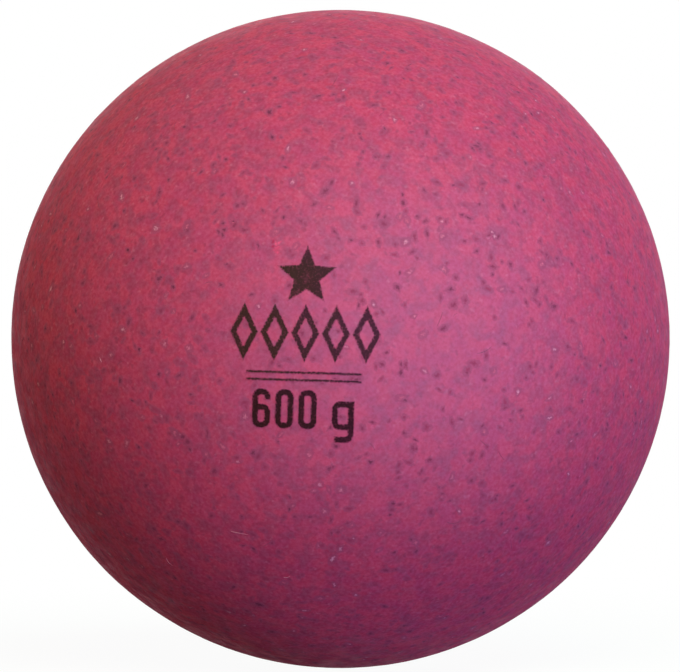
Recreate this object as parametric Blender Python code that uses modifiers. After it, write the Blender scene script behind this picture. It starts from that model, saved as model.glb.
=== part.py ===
# Soft training shot: a sand-filled rubber ball, moulded as two half shells.
# Lengths are in metres. Every piece is turned about the ball's moulding axis, which is world +Y:
# the printed shell faces -Y and the filler plug closes the ball at +Y. The origin is its centre.
import math

import bpy

# The ball
BALL_DIAMETER = 0.095
SHELL_WALL = 0.008
FIT_GAP = 0.0003

# Stepped lap seam between the half shells
OUTER_LIP_WALL = 0.0038
LAP_DEPTH = 0.005
LAP_TAPER = 0.0004
LAP_TIP_CHAMFER = 0.0007
SEAM_CHAMFER = 0.00035

# Band cemented inside across the seam
BAND_WIDTH = 0.012
BAND_THICKNESS = 0.0012

# Filler hole, its boss and its bush
BOSS_DIAMETER = 0.034
BOSS_HEIGHT = 0.001
SHOULDER_THICKNESS = 0.0016
BUSH_DIAMETER = 0.0195
BUSH_BEAD_RADIUS = 0.0009
BUSH_FLANGE_DIAMETER = 0.027
BUSH_FLANGE_THICKNESS = 0.0016
BUSH_BORE_CHAMFER = 0.0006

# Push-in plug
PLUG_HEAD_DIAMETER = 0.018
PLUG_HEAD_DEPTH = 0.0032
PLUG_HEAD_ROUND = 0.0004
PLUG_STEM_DIAMETER = 0.012
PLUG_BARB_DIAMETER = 0.0150
PLUG_BARB_LIP = 0.0010
PLUG_NOSE_LENGTH = 0.0032
PLUG_NOSE_DIAMETER = 0.0090

# Foam wad under the plug
WAD_DIAMETER = 0.020
WAD_THICKNESS = 0.002
WAD_ROUND = 0.0005

# Fineness of the turned surfaces
SHELL_STEPS = 60
CORE_STEPS = 44
FITTING_STEPS = 36
SKIN_ARC_DEGREES = 5.0
CAVITY_ARC_DEGREES = 8.0
SMALL_ARC_DEGREES = 30.0
SHARP_ANGLE = math.radians(32.0)

# Radii and heights that follow from the sizes above, measured from the ball's centre
ball_radius = BALL_DIAMETER / 2
cavity_radius = ball_radius - SHELL_WALL
core_radius = cavity_radius - FIT_GAP
half_gap = FIT_GAP / 2

lap_radius = ball_radius - OUTER_LIP_WALL
lap_tip_radius = lap_radius - LAP_TAPER
lap_floor = -(LAP_DEPTH + FIT_GAP)

head_radius = PLUG_HEAD_DIAMETER / 2
stem_radius = PLUG_STEM_DIAMETER / 2
bore_radius = stem_radius + FIT_GAP
bush_radius = BUSH_DIAMETER / 2
flange_radius = BUSH_FLANGE_DIAMETER / 2
boss_radius = BOSS_DIAMETER / 2
wad_radius = WAD_DIAMETER / 2

head_underside = ball_radius - PLUG_HEAD_DEPTH
counterbore_floor = head_underside - FIT_GAP
shoulder_underside = counterbore_floor - SHOULDER_THICKNESS
boss_rim = math.sqrt(cavity_radius**2 - boss_radius**2)
boss_face = boss_rim - BOSS_HEIGHT
bush_top = shoulder_underside - FIT_GAP
flange_top = boss_face - FIT_GAP
flange_underside = flange_top - BUSH_FLANGE_THICKNESS
bead_height = (bush_top + flange_top) / 2
barb_top = flange_underside - FIT_GAP
nose_tip = barb_top - PLUG_BARB_LIP - PLUG_NOSE_LENGTH
wad_top = nose_tip - FIT_GAP
wad_underside = wad_top - WAD_THICKNESS


def polar(radius, degrees):
    """Point at an angle above the seam plane, seen from the ball's centre."""
    turn = math.radians(degrees)
    across = radius * math.cos(turn)
    return (0.0 if abs(degrees) == 90.0 else across, radius * math.sin(turn))


def elevation(height, radius):
    """Angle above the seam plane of a point at this height on a centred sphere."""
    return math.degrees(math.asin(height / radius))


def sphere_arc(radius, start, end, step):
    """Profile points along a centred sphere between two elevations, both included."""
    count = max(1, math.ceil(abs(end - start) / step))
    return [polar(radius, start + (end - start) * i / count) for i in range(count + 1)]


def small_arc(centre, radius, start, end):
    """Profile points along a small round, for edges and beads."""
    count = max(1, math.ceil(abs(end - start) / SMALL_ARC_DEGREES))
    points = []
    for i in range(count + 1):
        turn = math.radians(start + (end - start) * i / count)
        points.append((centre[0] + radius * math.cos(turn), centre[1] + radius * math.sin(turn)))
    return points


def front_shell_profile():
    """Cup without a hole: up the cavity wall, over the stepped rim, down the skin."""
    rim_start = -(half_gap + SEAM_CHAMFER)
    cavity = sphere_arc(cavity_radius, -90.0, elevation(lap_floor, cavity_radius), CAVITY_ARC_DEGREES)
    step = [
        (lap_tip_radius + FIT_GAP, lap_floor),
        (lap_radius + FIT_GAP, -half_gap),
        (ball_radius - SEAM_CHAMFER, -half_gap),
    ]
    skin = sphere_arc(ball_radius, elevation(rim_start, ball_radius), -90.0, SKIN_ARC_DEGREES)
    return cavity + step + skin


def rear_shell_profile():
    """Cup with the filler hole: down the skin, round the tongue, up the cavity wall and the hole."""
    rim_start = half_gap + SEAM_CHAMFER
    hole_radius = head_radius + FIT_GAP
    recess_radius = bush_radius + FIT_GAP
    groove_radius = BUSH_BEAD_RADIUS + FIT_GAP
    groove_reach = math.degrees(math.acos(FIT_GAP / groove_radius))
    hole_edge = math.degrees(math.acos(hole_radius / ball_radius))
    cavity_edge = math.degrees(math.acos(boss_radius / cavity_radius))

    skin = sphere_arc(ball_radius, hole_edge, elevation(rim_start, ball_radius), SKIN_ARC_DEGREES)
    tongue = [
        (ball_radius - SEAM_CHAMFER, half_gap),
        (lap_radius, half_gap),
        (lap_tip_radius, LAP_TIP_CHAMFER - LAP_DEPTH),
        (lap_tip_radius - LAP_TIP_CHAMFER, -LAP_DEPTH),
    ]
    cavity = sphere_arc(cavity_radius, elevation(-LAP_DEPTH, cavity_radius), cavity_edge, CAVITY_ARC_DEGREES)
    boss = [(boss_radius, boss_face), (recess_radius, boss_face)]
    groove = small_arc((bush_radius, bead_height), groove_radius, -groove_reach, groove_reach)
    hole = [
        (recess_radius, shoulder_underside),
        (bore_radius, shoulder_underside),
        (bore_radius, counterbore_floor),
        (hole_radius, counterbore_floor),
    ]
    return skin + tongue + cavity + boss + groove + hole


def seam_band_profile():
    """Strip that follows the cavity wall, centred on the seam's inner line, with thinned edges."""
    outer = core_radius
    inner = outer - BAND_THICKNESS
    low, high = band_span()
    taper = math.degrees(BAND_THICKNESS / outer)
    face = sphere_arc(outer, high, low, CAVITY_ARC_DEGREES)
    back = sphere_arc(inner, low + taper, high - taper, CAVITY_ARC_DEGREES)
    return face + back


def band_span():
    """Elevations of the band's lower and upper edge."""
    middle = elevation(lap_floor + half_gap, cavity_radius)
    reach = math.degrees(BAND_WIDTH / 2 / cavity_radius)
    return middle - reach, middle + reach


def filler_bush_profile():
    """Sleeve with a keying bead outside, a flange under the boss and a chamfered bore."""
    bead = small_arc((bush_radius, bead_height), BUSH_BEAD_RADIUS, 90.0, -90.0)
    return [(bore_radius + BUSH_BORE_CHAMFER, bush_top), (bush_radius, bush_top)] + bead + [
        (bush_radius, flange_top),
        (flange_radius, flange_top),
        (flange_radius, flange_underside),
        (bore_radius, flange_underside),
        (bore_radius, bush_top - BUSH_BORE_CHAMFER),
    ]


def filler_plug_profile():
    """Crowned head on the ball's own sphere, a stem, and a barb with a tapered nose."""
    crown_edge = math.degrees(math.acos((head_radius - PLUG_HEAD_ROUND) / ball_radius))
    crown = sphere_arc(ball_radius, 90.0, crown_edge, SKIN_ARC_DEGREES / 2)
    edge_height = crown[-1][1] - PLUG_HEAD_ROUND
    edge = small_arc((head_radius - PLUG_HEAD_ROUND, edge_height), PLUG_HEAD_ROUND, 60.0, 0.0)
    return crown + edge + [
        (head_radius, head_underside),
        (stem_radius, head_underside),
        (stem_radius, barb_top),
        (PLUG_BARB_DIAMETER / 2, barb_top),
        (PLUG_BARB_DIAMETER / 2, barb_top - PLUG_BARB_LIP),
        (PLUG_NOSE_DIAMETER / 2, nose_tip),
        (0.0, nose_tip),
    ]


def plug_wad_profile():
    """Flat disc with rounded edges."""
    upper = small_arc((wad_radius - WAD_ROUND, wad_top - WAD_ROUND), WAD_ROUND, 90.0, 0.0)
    lower = small_arc((wad_radius - WAD_ROUND, wad_underside + WAD_ROUND), WAD_ROUND, 0.0, -90.0)
    return [(0.0, wad_top)] + upper + lower + [(0.0, wad_underside)]


def ballast_profile():
    """Charge that fills the cavity: relieved round the wad, the flange, the boss and the band."""
    pocket_radius = wad_radius + FIT_GAP
    collar_radius = flange_radius + FIT_GAP
    shoulder_radius = boss_radius + FIT_GAP
    groove_radius = core_radius - BAND_THICKNESS - FIT_GAP
    edge_margin = math.degrees(FIT_GAP / core_radius)
    low, high = band_span()
    crown_edge = math.degrees(math.acos(shoulder_radius / core_radius))
    pocket = [
        (0.0, wad_underside - FIT_GAP),
        (pocket_radius, wad_underside - FIT_GAP),
        (pocket_radius, flange_underside - FIT_GAP),
        (collar_radius, flange_underside - FIT_GAP),
        (collar_radius, boss_face - FIT_GAP),
        (shoulder_radius, boss_face - FIT_GAP),
    ]
    upper = sphere_arc(core_radius, crown_edge, high + edge_margin, CAVITY_ARC_DEGREES)
    groove = sphere_arc(groove_radius, high + edge_margin, low - edge_margin, CAVITY_ARC_DEGREES)
    lower = sphere_arc(core_radius, low - edge_margin, -90.0, CAVITY_ARC_DEGREES)
    return pocket + upper + groove + lower


def make_material(name, colour, roughness):
    """Non-metallic finish with one colour and one roughness."""
    material = bpy.data.materials.new(name)
    material.use_nodes = True
    shader = material.node_tree.nodes["Principled BSDF"]
    shader.inputs["Base Color"].default_value = (*colour, 1.0)
    shader.inputs["Roughness"].default_value = roughness
    shader.inputs["Metallic"].default_value = 0.0
    material.diffuse_color = (*colour, 1.0)
    return material


def turn_piece(name, profile, steps, material, collection, axis):
    """Turn a profile about the moulding axis; a profile that leaves the axis free is closed first."""
    touches_axis = profile[0][0] == 0.0 and profile[-1][0] == 0.0
    edges = [(i, i + 1) for i in range(len(profile) - 1)]
    if not touches_axis:
        edges.append((len(profile) - 1, 0))
    mesh = bpy.data.meshes.new(name)
    mesh.from_pydata([(across, 0.0, height) for across, height in profile], edges, [])
    piece = bpy.data.objects.new(name, mesh)
    collection.objects.link(piece)

    screw = piece.modifiers.new("Turned", "SCREW")
    screw.axis = "Z"
    screw.angle = math.tau
    screw.steps = steps
    screw.render_steps = steps
    screw.use_merge_vertices = True
    screw.merge_threshold = 0.00001
    bpy.context.view_layer.objects.active = piece
    bpy.ops.object.modifier_apply(modifier=screw.name)

    mesh.shade_smooth()
    mesh.set_sharp_from_angle(angle=SHARP_ANGLE)
    mesh.materials.append(material)
    piece.parent = axis
    return piece


def build():
    for old in list(bpy.data.objects):
        bpy.data.objects.remove(old)
    ball = bpy.data.collections.new("training_shot")
    bpy.context.scene.collection.children.link(ball)

    # The profiles are drawn with the moulding axis upright; this empty lays it along +Y.
    axis = bpy.data.objects.new("moulding_axis", None)
    axis.rotation_euler = (-math.pi / 2, 0.0, 0.0)
    axis.empty_display_size = ball_radius
    ball.objects.link(axis)

    skin = make_material("speckled_rubber", (0.46, 0.085, 0.17), 0.72)
    rear_skin = make_material("speckled_rubber_rear", (0.46, 0.085, 0.17), 0.72)
    band = make_material("band_rubber", (0.05, 0.045, 0.045), 0.8)
    bush = make_material("bush_rubber", (0.09, 0.03, 0.04), 0.6)
    plug = make_material("plug_rubber", (0.38, 0.07, 0.14), 0.65)
    foam = make_material("wad_foam", (0.75, 0.72, 0.65), 0.95)
    sand = make_material("dry_sand", (0.55, 0.42, 0.27), 0.95)

    turn_piece("front_shell", front_shell_profile(), SHELL_STEPS, skin, ball, axis)
    turn_piece("rear_shell", rear_shell_profile(), SHELL_STEPS, rear_skin, ball, axis)
    turn_piece("seam_band", seam_band_profile(), CORE_STEPS, band, ball, axis)
    turn_piece("filler_bush", filler_bush_profile(), FITTING_STEPS, bush, ball, axis)
    turn_piece("filler_plug", filler_plug_profile(), FITTING_STEPS, plug, ball, axis)
    turn_piece("plug_wad", plug_wad_profile(), FITTING_STEPS, foam, ball, axis)
    turn_piece("ballast_fill", ballast_profile(), CORE_STEPS, sand, ball, axis)


build()
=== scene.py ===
# Soft training shot: the look of its speckled rubber skin, its print and the plug that closes it.
# Lengths are in metres. The printed side faces -Y, the filler plug closes the ball at +Y.
import math

import bmesh
import bpy
import numpy as np
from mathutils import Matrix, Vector


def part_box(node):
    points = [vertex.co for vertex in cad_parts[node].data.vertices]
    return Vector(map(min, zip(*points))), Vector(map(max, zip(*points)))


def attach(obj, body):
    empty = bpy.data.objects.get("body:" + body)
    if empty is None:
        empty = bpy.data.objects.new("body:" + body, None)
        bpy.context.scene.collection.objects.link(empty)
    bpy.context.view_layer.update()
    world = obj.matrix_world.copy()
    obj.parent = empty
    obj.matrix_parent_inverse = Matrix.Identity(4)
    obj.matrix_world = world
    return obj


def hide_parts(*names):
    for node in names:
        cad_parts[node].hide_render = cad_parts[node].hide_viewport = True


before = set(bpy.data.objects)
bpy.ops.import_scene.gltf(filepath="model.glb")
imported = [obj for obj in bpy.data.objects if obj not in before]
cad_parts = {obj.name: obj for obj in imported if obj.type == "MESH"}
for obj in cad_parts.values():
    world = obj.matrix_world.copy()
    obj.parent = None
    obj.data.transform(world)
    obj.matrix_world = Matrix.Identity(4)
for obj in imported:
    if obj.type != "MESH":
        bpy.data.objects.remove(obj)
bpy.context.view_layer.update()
print("frame loaded:", ", ".join(sorted(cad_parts)))

# Sizes that the frame already holds
fitGap = 0.0003  # what the pieces leave between them
ballRadius = -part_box("front_shell")[0][1]
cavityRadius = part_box("ballast_fill")[1][0] + fitGap
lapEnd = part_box("rear_shell")[0][1]
plugLow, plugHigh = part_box("filler_plug")
bushLow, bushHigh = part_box("filler_bush")
plugHeadRadius = plugHigh[0]


# Unevenness of the moulded skin

skinForm = {
    "peelHeight": 0.0000045,  # rms height of the fine unevenness
    "peelLengths": (0.0014, 0.0050),  # shortest and longest wave
    "peelWaves": 240,
    "swellHeight": 0.000022,  # rms height of the slow unevenness
    "swellLengths": (0.012, 0.040),
    "swellWaves": 40,
    "pits": 700,
    "pitRadius": (0.00022, 0.00050),
    "pitDepth": (0.000005, 0.000018),
    "flashWidth": 0.0007,  # trimmed moulding flash along the seam
    "flashHeight": 0.000040,
    "flashShare": 0.6,  # mean share of its height; its waves add to this and take from it
    "flashWaves": 9,
    "seed": 11,
}


def unitVectors(points):
    return points / np.linalg.norm(points, axis=1, keepdims=True)


def randomDirections(rng, count):
    # Unit vectors spread evenly over the ball: three normal draws, divided by their length
    return unitVectors(rng.normal(size=(count, 3)))


def waveSet(rng, count, lengths, height):
    # Wave vectors of random direction, a full turn over the wavelength long, with phases and one height
    vectors = randomDirections(rng, count) * (math.tau / rng.uniform(*lengths, count))[:, None]
    return vectors, rng.uniform(0, math.tau, count), height * math.sqrt(2 / count)


def drawSkin(look):
    rng = np.random.default_rng(look["seed"])
    peel = waveSet(rng, look["peelWaves"], look["peelLengths"], look["peelHeight"])
    swell = waveSet(rng, look["swellWaves"], look["swellLengths"], look["swellHeight"])
    centres = randomDirections(rng, look["pits"])
    radii = rng.uniform(*look["pitRadius"], look["pits"])
    depths = rng.uniform(*look["pitDepth"], look["pits"])
    return peel, swell, centres, radii, depths


peelWaves, swellWaves, pitCentres, pitRadii, pitDepths = drawSkin(skinForm)


def pitField(directions):
    # Sum over the pits of a bell, e to the minus squared distance over squared radius: its depth and share
    depth = np.zeros(len(directions))
    share = np.zeros(len(directions))
    for part in np.array_split(np.arange(len(directions)), 1 + len(directions) // 8000):
        apart = 2 - 2 * np.clip(directions[part] @ pitCentres.T, -1, 1)
        bells = np.exp(-apart * ballRadius**2 / pitRadii**2)
        depth[part] = bells @ pitDepths
        share[part] = bells.sum(axis=1)
    return depth, np.clip(share, 0, 1)


def skinRelief(directions):
    # Height over the true ball: sums of cosines of wave vector times place plus phase, less the pits,
    # plus a flash ridge that dies away from the seam as a bell and swells and fades along it
    places = directions * ballRadius
    height = -pitField(directions)[0]
    for vectors, phases, scale in (peelWaves, swellWaves):
        height += scale * np.cos(places @ vectors.T + phases).sum(axis=1)
    ridge = np.exp(-((places[:, 1] / skinForm["flashWidth"]) ** 2))
    vectors, phases = (values[:skinForm["flashWaves"]] for values in peelWaves[:2])
    ragged = skinForm["flashShare"] + np.cos(places @ vectors.T + phases).mean(axis=1)
    return height + skinForm["flashHeight"] * ridge * ragged


# Profiles and rings

def arcPoints(centre, radius, start, end, count):
    # Points (across, along) round a centre between two angles in degrees
    turns = np.radians(np.linspace(start, end, count))
    return np.stack([centre[0] + radius * np.cos(turns), centre[1] + radius * np.sin(turns)], axis=1)


def ballArc(radius, low, high, count):
    # Points (across, along) on a centred circle between two places along the axis, evenly turned
    turns = np.linspace(math.asin(low / radius), math.asin(high / radius), count)
    return np.stack([radius * np.cos(turns), radius * np.sin(turns)], axis=1)


def straightRun(corners, steps=1):
    # Evenly spaced points through corners, without the first corner
    runs = [np.linspace(start, end, steps + 1)[1:] for start, end in zip(corners[:-1], corners[1:])]
    return np.concatenate(runs)


def ringPoints(profile, turns):
    # A profile of (distance from the Y axis, place along Y) carried round the axis by each turn
    across = profile[:, :1]
    along = np.repeat(profile[:, 1:], len(turns), axis=1)
    return np.stack([across * np.cos(turns), along, across * np.sin(turns)], axis=2).reshape(-1, 3)


def liftSkin(points, share):
    # Moves each point along its own direction from the centre by the relief there, times its share
    directions = unitVectors(points)
    return points + directions * (skinRelief(directions) * share)[:, None]


def faceRows(*corners):
    # One row for each face, from arrays of its corners' numbers stretched to one shape
    return np.stack(np.broadcast_arrays(*corners), axis=-1).reshape(-1, len(corners))


def ringFaces(first, rings, around, closed=False):
    # Faces between neighbouring rings, wrapped round each ring, and from last ring to first where closed
    k = np.arange(rings if closed else rings - 1)[:, None]
    j = np.arange(around)[None, :]
    nextRing, nextPoint = (k + 1) % rings, (j + 1) % around
    near, far = k * around, nextRing * around
    return first + faceRows(near + j, far + j, far + nextPoint, near + nextPoint)


def stripMap(steps, around, left, right):
    # Map of the same faces laid in an upright strip: rings across it, points up it, no face wrapped
    k = np.arange(steps)[:, None]
    j = np.arange(around)[None, :]
    corners = [(k, j), (k + 1, j), (k + 1, j + 1), (k, j + 1)]
    width = (right - left) / steps
    places = [np.stack(np.broadcast_arrays(left + width * a, b / around), axis=2) for a, b in corners]
    return np.stack(places, axis=2).reshape(-1, 2)


def finishMesh(name, points, faces, mapPlaces=None, sharp=38.0):
    # Smooth shading, but for edges where faces meet at more than the sharp angle, in degrees
    mesh = bpy.data.meshes.new(name)
    mesh.from_pydata(points.tolist(), [], faces)
    if mapPlaces is not None:
        layer = mesh.uv_layers.new(name="OFBake")
        layer.data.foreach_set("uv", np.ascontiguousarray(mapPlaces, dtype=np.float32).ravel())
    mesh.update()
    mesh.shade_smooth()
    mesh.set_sharp_from_angle(angle=math.radians(sharp))
    return mesh


def writeAttribute(mesh, name, values):
    layer = mesh.attributes.new(name, "FLOAT", "POINT")
    layer.data.foreach_set("value", np.ascontiguousarray(values, dtype=np.float32))


def addObject(name, data):
    thing = bpy.data.objects.new(name, data)
    bpy.context.scene.collection.objects.link(thing)
    return thing


def addPiece(name, mesh, material, replaced=()):
    piece = addObject(name, mesh)
    mesh.materials.append(material)
    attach(piece, "root")
    if replaced:
        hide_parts(*replaced)
    return piece


# Material helpers

def addNode(tree, kind, values=None, **settings):
    node = tree.nodes.new("ShaderNode" + kind)
    for key, value in settings.items():
        setattr(node, key, value)
    for key, value in (values or {}).items():
        setSocket(tree, node.inputs[key], value)
    return node


def setSocket(tree, socket, value):
    if isinstance(value, bpy.types.NodeSocket):
        tree.links.new(value, socket)
    elif socket.type == "RGBA":
        socket.default_value = (*value[:3], 1.0)
    else:
        socket.default_value = value


def emptyTree(block):
    # Node tree of a material or a world, with nothing in it yet
    block.use_nodes = True
    block.node_tree.nodes.clear()
    return block.node_tree


def newMaterial(name):
    material = bpy.data.materials.new(name)
    tree = emptyTree(material)
    shader = addNode(tree, "BsdfPrincipled")
    output = addNode(tree, "OutputMaterial")
    tree.links.new(shader.outputs["BSDF"], output.inputs["Surface"])
    coords = addNode(tree, "TexCoord").outputs["Object"]
    return material, tree, shader, coords


def mathNode(tree, operation, first, second=0.0):
    return addNode(tree, "Math", {0: first, 1: second}, operation=operation).outputs[0]


plainRough = 0.58  # roughness of a noise that names none of its own


def noiseField(tree, coords, patch):
    # Soft noise from 0 to 1 in patches of about the patch's size; the turn keeps its streaks apart from
    # those of other noises
    moves = {"Vector": coords, "Location": patch["shift"], "Rotation": patch["shift"]}
    values = {"Vector": addNode(tree, "Mapping", moves).outputs[0], "Scale": 1 / patch["size"],
              "Detail": patch["detail"], "Roughness": patch.get("rough", plainRough)}
    return addNode(tree, "TexNoise", values).outputs["Fac"]


def attributeField(tree, name):
    return addNode(tree, "Attribute", attribute_name=name).outputs["Fac"]


def ramp(tree, value, low, high, lowOut=0.0, highOut=1.0):
    # Smooth step of a value between two limits
    values = {0: value, 1: low, 2: high, 3: lowOut, 4: highOut}
    return addNode(tree, "MapRange", values, interpolation_type="SMOOTHSTEP").outputs[0]


def blendColour(tree, share, first, second, how="MIX"):
    return addNode(tree, "Mix", {0: share, 6: first, 7: second}, data_type="RGBA", blend_type=how).outputs[2]


def greyColour(tree, value):
    return addNode(tree, "CombineXYZ", {0: value, 1: value, 2: value}).outputs[0]


def addBump(tree, shader, height, depth, strength=1.0):
    bump = addNode(tree, "Bump", {"Height": height, "Distance": depth, "Strength": strength})
    tree.links.new(bump.outputs["Normal"], shader.inputs["Normal"])


# Speckled rubber

rubberLook = {
    "red": (0.500, 0.052, 0.108),
    "magenta": (0.450, 0.050, 0.1175),
    "roughness": (0.66, 0.86),
    "diffuseRoughness": 0.3,
    "specular": 0.10,
    "bumpDepth": 0.00002,
    "bumpShares": (0.45, 0.8),  # what the grain and the fine noise give to the bump
    "gloss": {"size": 0.0022, "detail": 2.0, "rough": 0.6, "shift": (0.2, 0.8, 0.5), "edge": (0.3, 0.7)},
    "cloud": {"size": 0.0030, "detail": 2.0, "shift": (0.0, 0.0, 0.0), "edge": (0.38, 0.62)},
    "fine": {"size": 0.0010, "detail": 2.0, "shift": (0.3, 0.1, 0.2)},
    "grain": {"size": 0.00030, "detail": 1.0, "shift": (0.7, 0.4, 0.9)},
    "grainShade": ((0.980, 0.945, 0.958), (1.020, 1.055, 1.042)),
    "shadeEdge": (0.25, 0.75),  # where the grain and the mottle turn from their first shade to their second
    "mottle": {"size": 0.00052, "detail": 1.0, "shift": (0.4, 0.9, 0.6)},
    "mottleShade": ((0.945, 0.775, 0.828), (1.055, 1.225, 1.172)),
    "buffed": (0.520, 0.105, 0.155),
    "buffedHalf": (0.0004, 0.0016),  # half width of the buffed seam, inside and out
    "buffedEdge": (0.3, 0.7),
    "buffedShare": (0.2, 0.7),
    "pitEdge": (0.2, 1.0),
    "pitDarkening": 0.26,  # how much of the dark speck's tone a pit's middle takes
    "plugShade": (0.84, 0.82, 0.84),
    "paintedSheen": (0.660, 0.280, 0.520),  # painted sheen: a pale lilac patch right of the middle of the printed side, standing in for the lamps' broad highlight there
    "paintedSheenPlace": (0.0100, -0.0464, 0.0000),
    "paintedSheenReach": (0.0040, 0.0380),
    "paintedSheenShare": 0.15,
}
rubberPatches = {
    # Each patch of other rubber: its size, where its noise fades in, how far it covers, and its tone
    "warm": {"size": 0.0040, "detail": 1.0, "shift": (0.6, 0.2, 0.9), "edge": (0.46, 0.68), "share": 0.42,
             "tone": (0.575, 0.056, 0.117)},
    "dull": {"size": 0.0015, "detail": 0.6, "shift": (0.3, 0.7, 0.2), "edge": (0.46, 0.70), "share": 0.52,
             "tone": (0.310, 0.050, 0.103)},
    "slate": {"size": 0.0026, "detail": 1.0, "shift": (0.9, 0.6, 0.1), "edge": (0.50, 0.70), "share": 0.37,
              "tone": (0.290, 0.058, 0.114)},
    "speck": {"size": 0.00092, "detail": 1.0, "shift": (0.1, 0.2, 0.3), "edge": (0.58, 0.80), "share": 0.44,
              "tone": (0.220, 0.032, 0.072)},
    "pale": {"size": 0.00080, "detail": 1.0, "shift": (0.8, 0.4, 0.5), "edge": (0.60, 0.82), "share": 0.34,
             "tone": (0.580, 0.145, 0.220)},
}


def rubberColour(tree, coords, look):
    # Red and magenta rubber clouded together, with patches of other rubber over them, then a fine grain and
    # a painted sheen, a pale patch standing in for the broad highlight on the printed side
    cloud = noiseField(tree, coords, look["cloud"])
    fine = noiseField(tree, coords, look["fine"])
    grain = noiseField(tree, coords, look["grain"])
    colour = blendColour(tree, ramp(tree, cloud, *look["cloud"]["edge"]), look["red"], look["magenta"])
    grainPart, finePart = look["bumpShares"]
    height = mathNode(tree, "MULTIPLY", grain, grainPart)
    height = mathNode(tree, "ADD", height, mathNode(tree, "MULTIPLY", fine, finePart))
    for name, patch in rubberPatches.items():
        share = ramp(tree, noiseField(tree, coords, patch), *patch["edge"], 0.0, patch["share"])
        colour = blendColour(tree, share, colour, patch["tone"])
        if name == "speck":
            height = mathNode(tree, "SUBTRACT", height, share)
    mottle = noiseField(tree, coords, look["mottle"])
    for field, shade in ((mottle, look["mottleShade"]), (grain, look["grainShade"])):
        tint = blendColour(tree, ramp(tree, field, *look["shadeEdge"]), *shade)
        colour = blendColour(tree, 1.0, colour, tint, "MULTIPLY")
    # Painted sheen: a pale lilac patch that fades out from a place right of the middle of the printed side,
    # standing in for the broad highlight of the lamps
    away = addNode(tree, "VectorMath", {0: coords, 1: look["paintedSheenPlace"]}, operation="DISTANCE")
    paintedSheen = ramp(tree, away.outputs["Value"], *look["paintedSheenReach"], look["paintedSheenShare"], 0.0)
    return blendColour(tree, paintedSheen, colour, look["paintedSheen"]), fine, height


def dressRubber(tree, shader, coords, colour, height, look):
    # Uneven gloss and the fine bump, the same on skin and plug
    setSocket(tree, shader.inputs["Base Color"], colour)
    gloss = ramp(tree, noiseField(tree, coords, look["gloss"]), *look["gloss"]["edge"], *look["roughness"])
    setSocket(tree, shader.inputs["Roughness"], gloss)
    shader.inputs["Specular IOR Level"].default_value = look["specular"]
    shader.inputs["Diffuse Roughness"].default_value = look["diffuseRoughness"]
    addBump(tree, shader, height, look["bumpDepth"])


def makeSkinRubber(look):
    material, tree, shader, coords = newMaterial("skinRubber")
    colour, fine, height = rubberColour(tree, coords, look)
    apart = mathNode(tree, "ABSOLUTE", addNode(tree, "SeparateXYZ", {0: coords}).outputs[1])
    seam = ramp(tree, apart, *look["buffedHalf"], 1.0, 0.0)
    worn = ramp(tree, fine, *look["buffedEdge"], *look["buffedShare"])
    buffed = mathNode(tree, "MULTIPLY", seam, worn)
    colour = blendColour(tree, buffed, colour, look["buffed"])
    pitted = attributeField(tree, "pitShare")
    pitDark = ramp(tree, pitted, *look["pitEdge"], 0.0, look["pitDarkening"])
    colour = blendColour(tree, pitDark, colour, rubberPatches["speck"]["tone"])
    dressRubber(tree, shader, coords, colour, height, look)
    return material


def makePlugRubber(look):
    # The plug is pressed from the same rubber, a shade darker
    material, tree, shader, coords = newMaterial("plugRubber")
    colour, _, height = rubberColour(tree, coords, look)
    colour = blendColour(tree, 1.0, colour, look["plugShade"], "MULTIPLY")
    dressRubber(tree, shader, coords, colour, height, look)
    return material


skinRubber = makeSkinRubber(rubberLook)
plugRubber = makePlugRubber(rubberLook)
print("rubber materials made")


# The two half skins

seamForm = {
    "gap": 0.000002,  # what shows of the closed joint
    "lipRadius": 0.00032,
    "lipSteps": 6,
    "lipRelief": 0.2,  # share of the skin's relief left at the inner end of a lip
    "zone": 0.0016,  # rings are closer this near the seam
    "zoneRings": 9,
    "lipWall": 0.0038,
    "lapTaper": 0.0004,
    "tipChamfer": 0.0007,
    "clear": 0.0010,  # chips and strands keep this far away
}
frontForm = {
    "gridCount": 254,  # faces along each side of the square grid
    "cavityRings": 10,
    "poleStart": 0.9995,  # the last ring's place, as a share of the cavity's radius
    "mapSide": 0.94,  # share of the texture that the visible skin fills
    "mapMargin": 0.001,
    "mapStrips": ((0.943, 0.945), (0.945, 0.975), (0.977, 0.996), (0.996, 0.999)),
}
rearForm = {
    "around": 560,
    "skinRings": 120,
    "holeLip": 0.00025,
    "holeLipSteps": 5,
    "headDepth": 0.0032,
    "shoulder": 0.0016,
    "flange": 0.0016,
    "bushRadius": 0.00975,
    "beadRadius": 0.0009,
    "grooveSteps": 7,
    "stemRadius": 0.0060,
    "bossRadius": 0.0170,
    "cavityRings": 14,
    "mapSide": 0.94,
    "mapFill": 0.99,  # share of that side that the disc takes
    "mapStrip": (0.95, 0.995),
}


def seamLip(side, look):
    # Rounded edge of the joint: a small circle that touches the ball from inside and the joint's face
    drop = look["gap"] / 2 + look["lipRadius"]
    across = math.sqrt((ballRadius - look["lipRadius"]) ** 2 - drop**2)
    start = math.degrees(math.atan2(drop, across))
    return arcPoints((across, -side * drop), look["lipRadius"], -side * start, side * 90.0, look["lipSteps"])


def squareOnDisc(a, b):
    # The larger of |a| and |b| is the radius, and a quarter turn times their ratio, over two, is the angle
    wide = np.abs(a) >= np.abs(b)
    safeA = np.where(a == 0, 1, a)
    safeB = np.where(b == 0, 1, b)
    reach = np.where(wide, a, b)
    turn = np.where(wide, math.pi / 4 * b / safeA, math.pi / 2 - math.pi / 4 * a / safeB)
    return reach * np.cos(turn), reach * np.sin(turn)


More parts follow.
